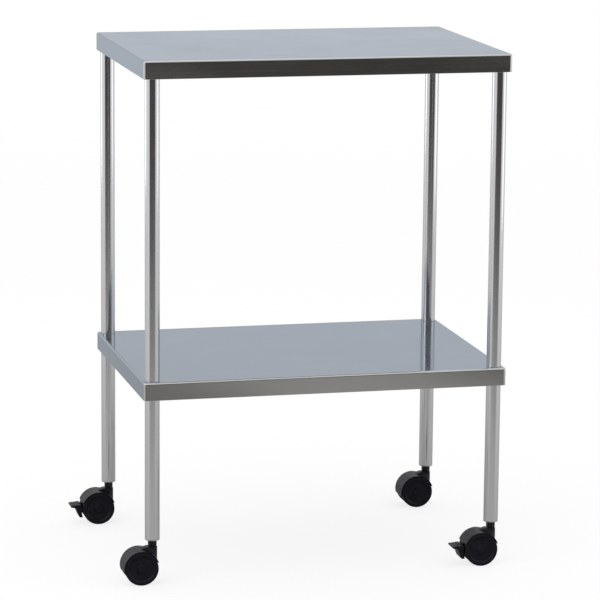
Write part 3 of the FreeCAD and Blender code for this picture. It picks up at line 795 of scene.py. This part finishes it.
class CART_OT_shelves(bpy.types.Operator):
    """Build both folded shelves with their hems"""

    bl_idname = "cart.shelves"
    bl_label = "Shelves"

    def execute(self, context):
        settings = context.scene.cart
        material = brushed_sheet(settings.finishes)
        for name, node in (("top_tray", "top_shelf"), ("lower_tray", "lower_shelf")):
            grid, blank = tray(node, settings.shelves)
            strips = hems(node, settings.shelves)
            flat = np.concatenate([part.reshape(-1, 3) for part in (blank, *strips)])
            piece(
                name, [(part, False) for part in (grid, *strips)],
                material, "frame", (node,),
                attributes={"blank": flat, "depth": extent(node)[1][2] - flat[:, 2]},
            )
        return {"FINISHED"}


class CART_OT_legs(bpy.types.Operator):
    """Build the eight leg tubes and the sockets that close their feet"""

    bl_idname = "cart.legs"
    bl_label = "Legs"

    def execute(self, context):
        settings = context.scene.cart
        sizes = settings.legs
        polished = polished_tube(settings.finishes)
        for corner in CORNERS:
            for level in ("upper", "lower"):
                node = f"{level}_leg_{corner}"
                grids = [(leg_tube(node, sizes), True)]
                piece(f"{level}_tube_{corner}", grids, polished, "frame", (node,))
        sockets = [(leg_socket(f"lower_leg_{corner}", sizes), True) for corner in CORNERS]
        steel = turned_metal(settings.finishes)
        piece("leg_sockets", sockets, steel, "frame", ("caster_sockets",))
        return {"FINISHED"}


class CART_OT_hidden_hardware(bpy.types.Operator):
    """Finish the stiffeners, corner plates, plugs, studs, axles and pins"""

    bl_idname = "cart.hidden_hardware"
    bl_label = "Hidden hardware"

    def execute(self, context):
        finishes = context.scene.cart.finishes
        plates = [f"{level}_plate_{corner}" for level in ("top", "lower") for corner in CORNERS]
        dress_nodes(plates + ["top_stiffener", "lower_stiffener"], mill_sheet(finishes))
        plugs = ["upper_leg_head_plugs", "upper_leg_foot_plugs", "lower_leg_head_plugs"]
        axles = [f"axle_{corner}" for corner in CORNERS]
        dress_nodes(plugs + ["top_studs", "joint_studs"] + axles, turned_metal(finishes))
        dress_nodes([f"brake_pin_{corner}" for corner in BRAKED], blackened_steel(finishes))
        return {"FINISHED"}


class CART_OT_stems(bpy.types.Operator):
    """Build the casters' stems: swivel pin, collar, hexagon and threaded end"""

    bl_idname = "cart.stems"
    bl_label = "Caster stems"

    def execute(self, context):
        settings = context.scene.cart
        black_steel = blackened_steel(settings.finishes)
        stem, nut = stem_parts(settings.casters)
        for corner in CORNERS:
            axis = np.append(plan(f"lower_leg_{corner}")[1], 0)
            grids = [(stem + axis, True), (nut + axis, False)]
            piece(f"stem_{corner}", grids, black_steel, "frame", (f"caster_stem_{corner}",))
        return {"FINISHED"}


class CART_OT_wheels(bpy.types.Operator):
    """Build the eight wheels and their treads"""

    bl_idname = "cart.wheels"
    bl_label = "Wheels"

    def execute(self, context):
        settings = context.scene.cart
        sizes = settings.casters
        nylon = moulded_nylon(settings.finishes)
        rubber = soft_tread(settings.finishes)
        tread_low, tread_high = extent("near_tread_front_left")
        radius = (tread_high[2] - tread_low[2]) / 2
        core = radius - sizes.tread
        for corner in CORNERS:
            for side, facing in (("near", -1), ("far", 1)):
                tread_low, tread_high = extent(f"{side}_tread_{corner}")
                wheel_low, wheel_high = extent(f"{side}_wheel_{corner}")
                root = wheel_high[1] if facing < 0 else wheel_low[1]
                low, high = sorted((edge - root) * facing for edge in (tread_low[1], tread_high[1]))
                wheel = core_section(core, wheel_high[1] - wheel_low[1], sizes)
                tread = tread_section(core, radius, low, high, sizes)
                for name, profile, material, slot, node in (
                    ("core", wheel, nylon, "black_nylon", "wheel"),
                    ("tyre", tread, rubber, "black_tread", "tread"),
                ):
                    grid = on_axle(profile, (tread_low + tread_high) / 2, root, facing)
                    piece(
                        f"{side}_{name}_{corner}", [(grid, True)], material,
                        f"{side}_roller_{corner}", (f"{side}_{node}_{corner}",), sharp=SHARP_WHEEL,
                    )
        return {"FINISHED"}


class CART_OT_housings(bpy.types.Operator):
    """Build the moulded caster housings and the brake pedals"""

    bl_idname = "cart.housings"
    bl_label = "Caster housings"

    def execute(self, context):
        nylon = moulded_nylon(context.scene.cart.finishes)
        for name, node, body, corners in (
            ("hood", "caster_housing", "caster", CORNERS),
            ("pedal", "brake_pedal", "pedal", BRAKED),
        ):
            for corner in corners:
                moulded_copy(
                    f"{name}_{corner}", f"{node}_{corner}", nylon, f"{body}_{corner}"
                )
        return {"FINISHED"}


# ---------------------------------------------------------------- studio


def in_steel(tree, rays):
    """1 for what is seen in a reflection or through glass, otherwise 0."""
    return maths(tree, "MAXIMUM", rays["Is Glossy Ray"], rays["Is Transmission Ray"])


def studio_world(sizes):
    """Plain white surround, whose front is left unlit for what steel shows of it."""
    world = bpy.data.worlds.get("studio") or bpy.data.worlds.new("studio")
    bpy.context.scene.world = world
    world.use_nodes = True
    tree = world.node_tree
    tree.nodes.clear()
    rays = add(tree, "LightPath").outputs
    seen = maths(tree, "MAXIMUM", rays["Is Camera Ray"], in_steel(tree, rays))
    direction = add(tree, "TexCoord").outputs["Generated"]
    front = vector_maths(tree, "DOT_PRODUCT", direction, ROOM_MIDDLE)["Value"]
    height = add(tree, "SeparateXYZ", Vector=direction).outputs["Z"]
    ahead = spread(tree, front, ROOM_EDGE, (0.0, 1.0), "SMOOTHSTEP")
    low = spread(tree, height, ROOM_TOP, (1.0, 0.0), "SMOOTHSTEP")
    unseen = maths(tree, "SUBTRACT", 1.0, rays["Is Camera Ray"])
    shade = maths(tree, "MULTIPLY", maths(tree, "MULTIPLY", ahead, low), unseen)
    dark = sizes.front_shade
    around = blend_colours(tree, shade, (1, 1, 1), (dark * ROOM_RED, dark, dark * ROOM_BLUE))
    surround = add(tree, "Background", Color=around, Strength=1.0).outputs[0]
    room = add(tree, "Background", Color=(1, 1, 1, 1), Strength=sizes.room).outputs[0]
    mix = add(tree, "MixShader", i0=seen, i1=room, i2=surround)
    tree.links.new(mix.outputs[0], add(tree, "OutputWorld").inputs[0])


def floor_material():
    """White floor that keeps a soft shadow and fades out far away and from below; steel shows it in
    painted grey shade.
    """
    material, tree = new_tree("studio_floor")
    away = vector_maths(tree, "LENGTH", on_piece(tree))["Value"]
    rays = add(tree, "LightPath").outputs
    steepness = maths(tree, "MULTIPLY", maths(tree, "POWER", away, MIRRORED_POWER), MIRRORED_RATE)
    fall = maths(tree, "EXPONENT", steepness)
    reach = spread(tree, away, FLOOR_FADE, (1.0, 0.0))
    above = maths(tree, "SUBTRACT", 1.0, add(tree, "NewGeometry").outputs["Backfacing"])
    there = maths(tree, "MULTIPLY", mixed(tree, rays["Is Camera Ray"], fall, reach), above)
    mirrored = maths(tree, "MULTIPLY", in_steel(tree, rays), MIRRORED_GLOW)
    shine = mixed(tree, rays["Is Camera Ray"], mirrored, FLOOR_GLOW)
    # Painted shade: the floor is grey where steel mirrors it, and white where the camera sees it.
    floor_colour_with_painted_shade = blend_colours(tree, rays["Is Camera Ray"], MIRRORED_SHADE_COLOUR, (1, 1, 1))
    lit = add(tree, "BsdfDiffuse", Color=floor_colour_with_painted_shade).outputs[0]
    glow = add(tree, "Emission", Color=(1, 1, 1, 1), Strength=1.0).outputs[0]
    white = add(tree, "MixShader", i0=shine, i1=lit, i2=glow).outputs[0]
    clear = add(tree, "BsdfTransparent").outputs[0]
    mix = add(tree, "MixShader", i0=there, i1=clear, i2=white)
    tree.links.new(mix.outputs[0], add(tree, "OutputMaterial").inputs[0])
    return material


def studio_floor(scene):
    """A square floor round the cart."""
    mesh = bpy.data.meshes.new("studio_floor")
    corners = FLOOR_REACH * np.array([(-1, -1, 0), (1, -1, 0), (1, 1, 0), (-1, 1, 0)])
    mesh.from_pydata(corners, [], [(0, 1, 2, 3)])
    mesh.materials.append(floor_material())
    ground = fresh_object("studio_floor", mesh)
    scene.collection.objects.link(ground)


def soft_lamp(scene, name, place, size, power):
    """A square area lamp that faces the cart."""
    light = bpy.data.lights.new(name, "AREA")
    light.shape = "SQUARE"
    light.size = size
    light.energy = power
    lamp = fresh_object(name, light)
    scene.collection.objects.link(lamp)
    back = np.array(place, float) - LAMP_TARGET
    tilt = math.atan2(math.hypot(back[0], back[1]), back[2])
    lamp.rotation_euler = (tilt, 0, math.atan2(back[0], -back[1]))
    lamp.location = place


def studio_camera(scene, sizes):
    """A camera that looks at the cart from a distance, turned and raised about it, then rolled."""
    camera = fresh_object("studio_camera", bpy.data.cameras.new("studio_camera"))
    scene.collection.objects.link(camera)
    scene.camera = camera
    camera.data.lens = sizes.lens
    camera.data.sensor_width = CAMERA_SENSOR
    camera.data.clip_end = CAMERA_REACH
    turn, rise, roll = sizes.azimuth, sizes.elevation, sizes.roll
    level = math.cos(rise)
    back = np.array([math.sin(turn) * level, -math.cos(turn) * level, math.sin(rise)])
    right = np.array([math.cos(turn), math.sin(turn), 0])
    up = np.cross(back, right)
    matrix = np.eye(4)
    matrix[:3, 0] = math.cos(roll) * right + math.sin(roll) * up
    matrix[:3, 1] = -math.sin(roll) * right + math.cos(roll) * up
    matrix[:3, 2] = back
    matrix[:3, 3] = CAMERA_TARGET + back * sizes.distance
    camera.matrix_world = Matrix(matrix.tolist())


class CART_OT_studio(bpy.types.Operator):
    """Set up the floor, the lamps and the camera"""

    bl_idname = "cart.studio"
    bl_label = "Studio"

    def execute(self, context):
        scene = context.scene
        scene.view_settings.view_transform = "Standard"
        studio_world(scene.cart.studio)
        studio_floor(scene)
        for lamp in LAMPS:
            soft_lamp(scene, *lamp)
        studio_camera(scene, scene.cart.studio)
        return {"FINISHED"}


class CART_PT_panel(bpy.types.Panel):
    """Sidebar list of the cart's pieces and their sizes"""

    bl_idname = "CART_PT_panel"
    bl_label = "Instrument Cart"
    bl_space_type = "VIEW_3D"
    bl_region_type = "UI"
    bl_category = "Cart"

    def draw(self, context):
        settings = context.scene.cart
        for operator, group in STEPS:
            box = self.layout.box()
            box.operator(operator.bl_idname)
            if group:
                sizes = getattr(settings, group)
                for name in sizes.__annotations__:
                    box.prop(sizes, name)
        box = self.layout.box()
        for name in settings.finishes.__annotations__:
            box.prop(settings.finishes, name)


STEPS = (
    (CART_OT_shelves, "shelves"),
    (CART_OT_legs, "legs"),
    (CART_OT_hidden_hardware, ""),
    (CART_OT_stems, "casters"),
    (CART_OT_wheels, ""),
    (CART_OT_housings, ""),
    (CART_OT_studio, "studio"),
)
CLASSES = (
    CART_PG_shelves, CART_PG_legs, CART_PG_casters, CART_PG_finishes, CART_PG_studio, CART_PG_settings,
    *(operator for operator, _ in STEPS), CART_PT_panel,
)


def register():
    """Register the classes and give each scene its settings."""
    for item in CLASSES:
        bpy.utils.register_class(item)
    bpy.types.Scene.cart = bpy.props.PointerProperty(type=CART_PG_settings)


def unregister():
    """Take the settings and the classes away again."""
    del bpy.types.Scene.cart
    for item in reversed(CLASSES):
        bpy.utils.unregister_class(item)


def main():
    """Build every piece and the stage in order."""
    register()
    for operator, _ in STEPS:
        group, name = operator.bl_idname.split(".")
        getattr(getattr(bpy.ops, group), name)()


if __name__ == "__main__":
    main()
